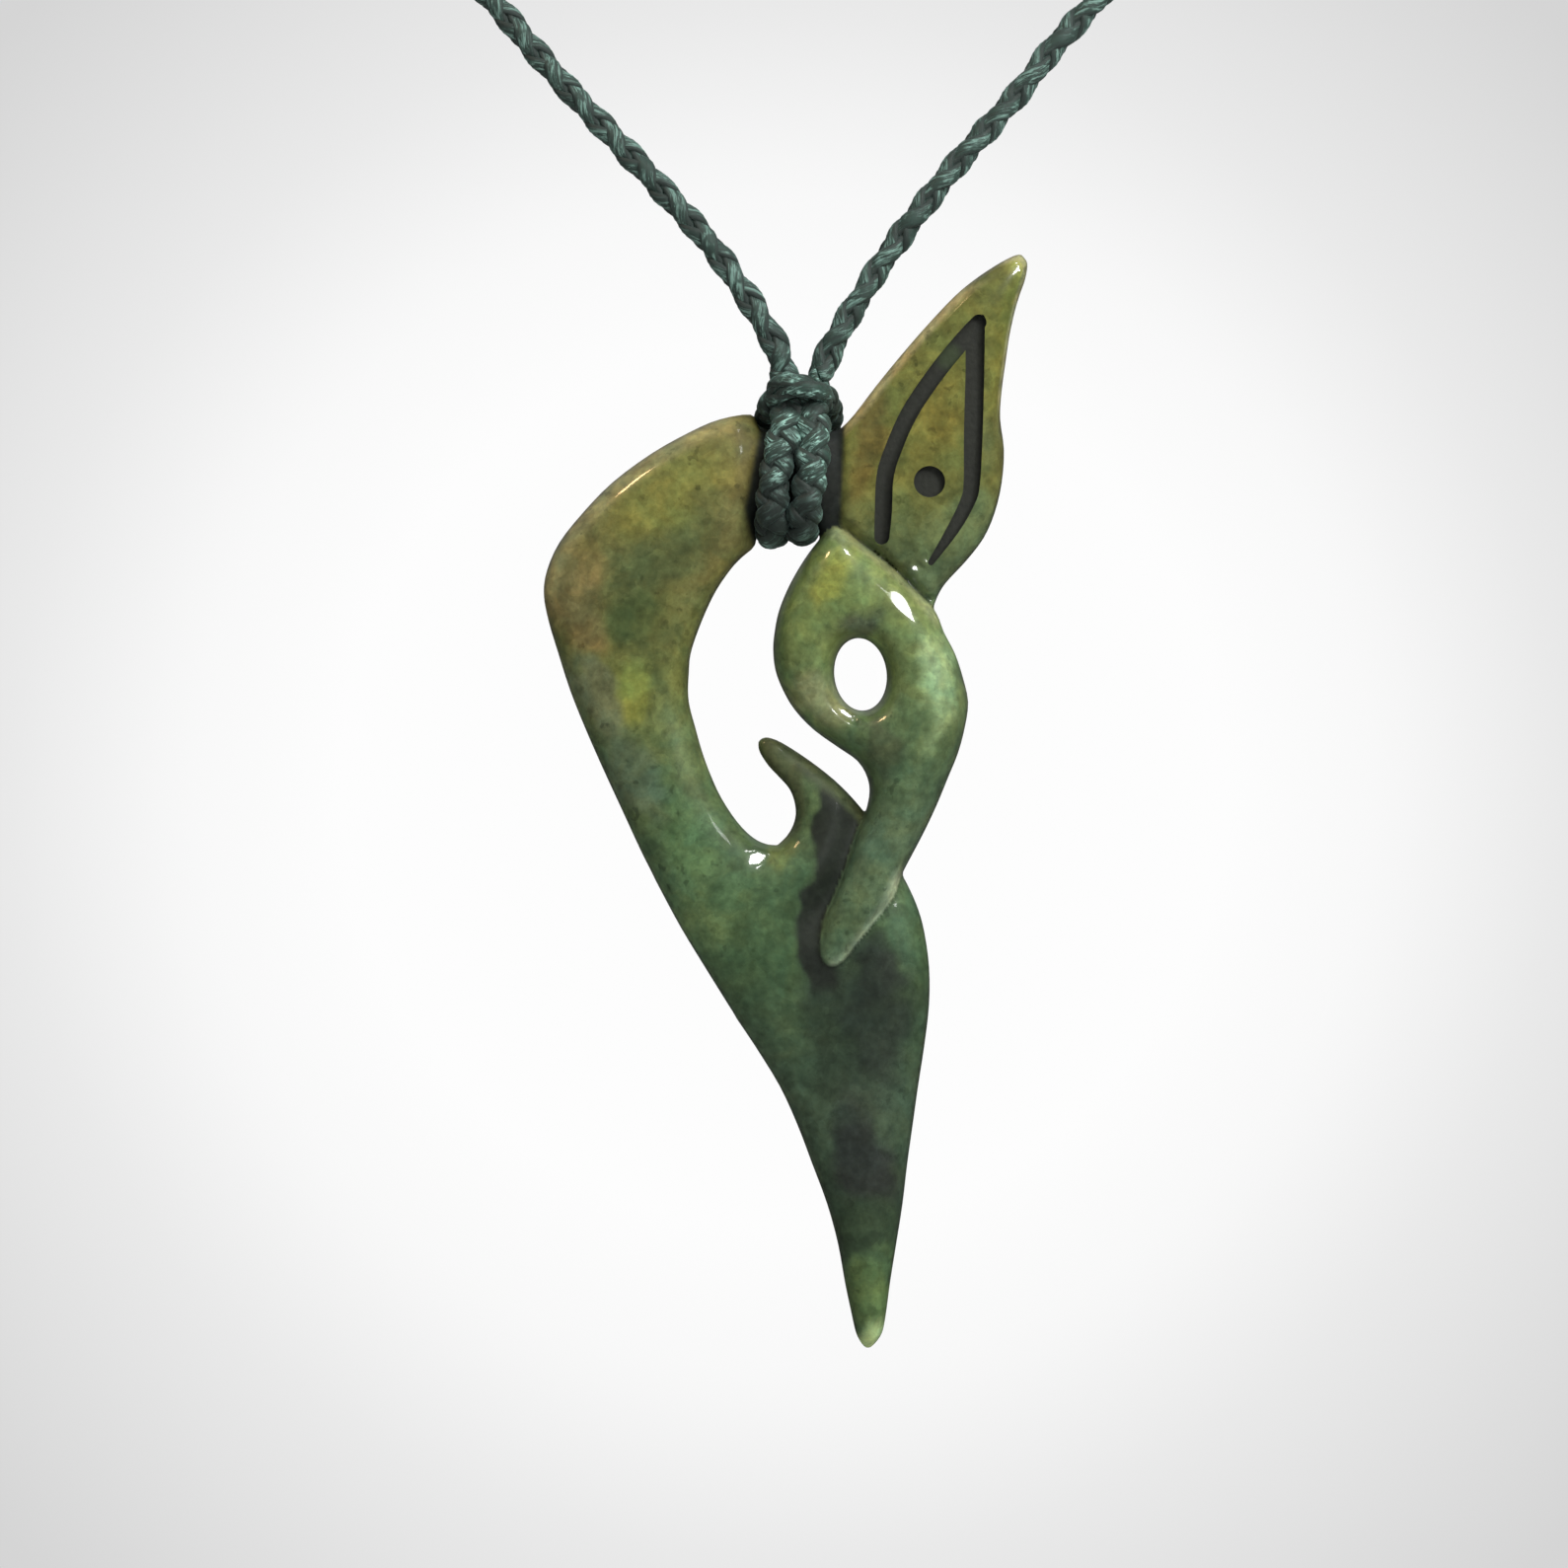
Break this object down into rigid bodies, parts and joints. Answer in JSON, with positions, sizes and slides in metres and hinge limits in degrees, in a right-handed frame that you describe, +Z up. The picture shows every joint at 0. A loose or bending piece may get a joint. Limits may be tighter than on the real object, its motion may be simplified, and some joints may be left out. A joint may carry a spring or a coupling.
{
  "type": "jade manaia pendant",
  "caption": "Jade pendant carved as a beaked manaia figure, lashed by a cow hitch to the loop of a braided neck cord that it hangs from.",
  "frame": {"origin": "the nape, at the middle of the cord's joining knot, where the loop hangs", "axes": "+Z up, along the hanging pendant; -Y the carved front; +X the wearer's left"},
  "size_m": [0.113, 0.1143, 0.212],
  "materials": {
    "jade": "mottled green jade, polished",
    "cord": "dark teal waxed cord, braided"
  },
  "bodies": {
    "root": {"jade_manaia": "jade", "hitch_left": "cord", "hitch_right": "cord", "hitch_band": "cord", "neck_cord_left": "cord", "neck_cord_right": "cord", "joining_knot": "cord"}
  },
  "joints": []
}
